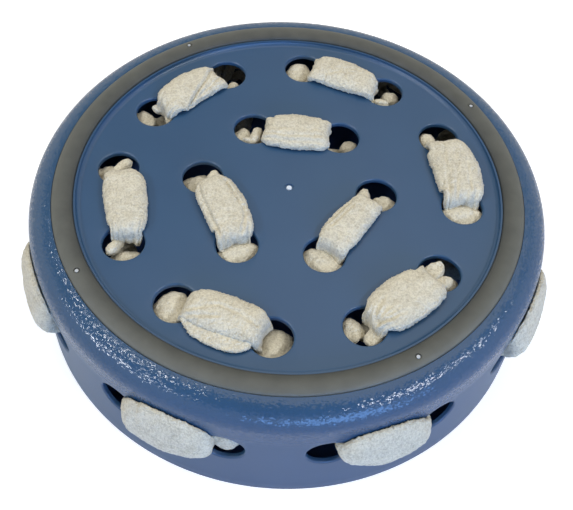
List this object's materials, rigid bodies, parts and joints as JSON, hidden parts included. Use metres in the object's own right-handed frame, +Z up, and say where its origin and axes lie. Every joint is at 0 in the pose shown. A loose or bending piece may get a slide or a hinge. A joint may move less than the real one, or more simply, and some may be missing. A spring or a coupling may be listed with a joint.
{
  "type": "snuffle bowl",
  "caption": "Round plastic bowl, stored mouth down, with a rubber foot ring under its base and fleece strips tied through pairs of holes so that their tails hang inside.",
  "frame": {"origin": "middle of the bowl's mouth, on the surface that the turned-over bowl stands on", "axes": "+Z up, from the mouth towards the foot ring; +X through the middle of the first strip of the outer row. In use the bowl is turned over, half a turn about X, and stands on the foot ring."},
  "size_m": [0.2942, 0.2942, 0.08],
  "materials": {
    "bowl_plastic": "blue polypropylene, satin, with a grained wall",
    "ring_rubber": "grey thermoplastic rubber, matt with a soft sheen",
    "fleece": "cream polar fleece, short curly pile"
  },
  "bodies": {
    "root": {"bowl_shell": "bowl_plastic", "foot_ring": "ring_rubber", "outer_strip_1": "fleece", "outer_strip_2": "fleece", "outer_strip_3": "fleece", "outer_strip_4": "fleece", "outer_strip_5": "fleece", "outer_strip_6": "fleece", "inner_strip_1": "fleece", "inner_strip_2": "fleece", "inner_strip_3": "fleece", "wall_strip_1": "fleece", "wall_strip_2": "fleece", "wall_strip_3": "fleece", "wall_strip_4": "fleece", "wall_strip_5": "fleece", "wall_strip_6": "fleece", "wall_strip_7": "fleece", "wall_strip_8": "fleece"}
  },
  "joints": []
}
